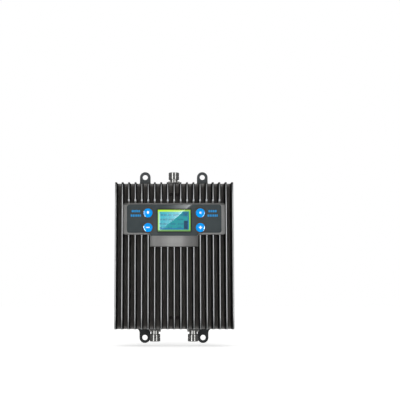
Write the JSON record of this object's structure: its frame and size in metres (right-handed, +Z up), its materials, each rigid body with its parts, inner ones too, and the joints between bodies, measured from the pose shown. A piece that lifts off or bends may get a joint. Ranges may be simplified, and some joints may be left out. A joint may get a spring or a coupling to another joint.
{
  "type": "cellular signal booster",
  "caption": "Wall-mounted cellular signal booster: finned heatsink housing with a display panel, push buttons, coaxial jacks and an eared wall plate.",
  "frame": {"origin": "on the wall, in the middle of the four ear holes", "axes": "+Z up, -Y out of the wall towards the display's viewer, +X to the viewer's right"},
  "size_m": [0.176, 0.047, 0.2614],
  "materials": {
    "housing_metal": "satin dark grey coating on cast aluminium",
    "plate_metal": "satin dark grey coating on sheet",
    "seal_rubber": "matte",
    "screw_steel": "satin zinc plate",
    "dark_screw_steel": "black oxide",
    "panel_plastic": "smooth printed panel",
    "window_clear": "clear and glossy",
    "display_border": "lit lime border",
    "display_glass": "lit teal display",
    "light_guide": "translucent white",
    "board_green": "solder mask",
    "white_plastic": "plain",
    "spacer_brass": "turned",
    "shield_steel": "tin plate",
    "chip_plastic": "moulded",
    "pad_rubber": "soft and matte",
    "capacitor_sleeve": "shrink sleeve",
    "button_blue": "glossy moulded",
    "black_plastic": "moulded",
    "jack_nickel": "bright nickel plate",
    "contact_gold": "gold plate",
    "jumper_copper": "bare copper line"
  },
  "bodies": {
    "root": {"heatsink_housing": "housing_metal", "back_plate": "plate_metal", "back_plate_gasket": "seal_rubber", "back_plate_screws": "screw_steel", "valley_screws": "dark_screw_steel", "control_overlay": "panel_plastic", "display_window": "window_clear", "lcd_frame": "display_border", "lcd_glass": "display_glass", "lcd_backlight": "light_guide", "display_board": "board_green", "display_board_screws": "screw_steel", "display_header": "white_plastic", "ribbon_cable": "white_plastic", "main_header": "white_plastic", "menu_switch": "black_plastic", "minus_switch": "black_plastic", "select_switch": "black_plastic", "plus_switch": "black_plastic", "main_board": "board_green", "main_board_screws": "screw_steel", "board_spacers": "spacer_brass", "outdoor_duplexer": "shield_steel", "indoor_duplexer": "shield_steel", "uplink_shield": "shield_steel", "downlink_shield": "shield_steel", "uplink_amplifier": "chip_plastic", "downlink_amplifier": "chip_plastic", "uplink_thermal_pad": "pad_rubber", "downlink_thermal_pad": "pad_rubber", "power_inductor": "chip_plastic", "power_capacitors": "capacitor_sleeve", "controller_chip": "chip_plastic", "outdoor_jack_body": "jack_nickel", "outdoor_jack_insulator": "white_plastic", "outdoor_jack_contact": "contact_gold", "outdoor_jack_seal": "seal_rubber", "outdoor_jumper": "jumper_copper", "indoor_left_jack_body": "jack_nickel", "indoor_left_jack_insulator": "white_plastic", "indoor_left_jack_contact": "contact_gold", "indoor_left_jack_seal": "seal_rubber", "indoor_left_jumper": "jumper_copper", "indoor_right_jack_body": "jack_nickel", "indoor_right_jack_insulator": "white_plastic", "indoor_right_jack_contact": "contact_gold", "indoor_right_jack_seal": "seal_rubber", "indoor_right_jumper": "jumper_copper", "jack_flange_screws": "screw_steel", "dc_jack_body": "black_plastic", "dc_jack_pin": "jack_nickel"},
    "menu_key": {"menu_button": "button_blue", "menu_plunger": "black_plastic"},
    "minus_key": {"minus_button": "button_blue", "minus_plunger": "black_plastic"},
    "select_key": {"select_button": "button_blue", "select_plunger": "black_plastic"},
    "plus_key": {"plus_button": "button_blue", "plus_plunger": "black_plastic"}
  },
  "joints": [
    {"name": "menu_press", "type": "slide", "parent": "root", "child": "menu_key", "axis": [0, 1, 0], "range_m": [0, 0.0006], "stiffness_N_per_m": 800, "springref_m": -0.001},
    {"name": "minus_press", "type": "slide", "parent": "root", "child": "minus_key", "axis": [0, 1, 0], "range_m": [0, 0.0006], "stiffness_N_per_m": 800, "springref_m": -0.001},
    {"name": "select_press", "type": "slide", "parent": "root", "child": "select_key", "axis": [0, 1, 0], "range_m": [0, 0.0006], "stiffness_N_per_m": 800, "springref_m": -0.001},
    {"name": "plus_press", "type": "slide", "parent": "root", "child": "plus_key", "axis": [0, 1, 0], "range_m": [0, 0.0006], "stiffness_N_per_m": 800, "springref_m": -0.001}
  ]
}
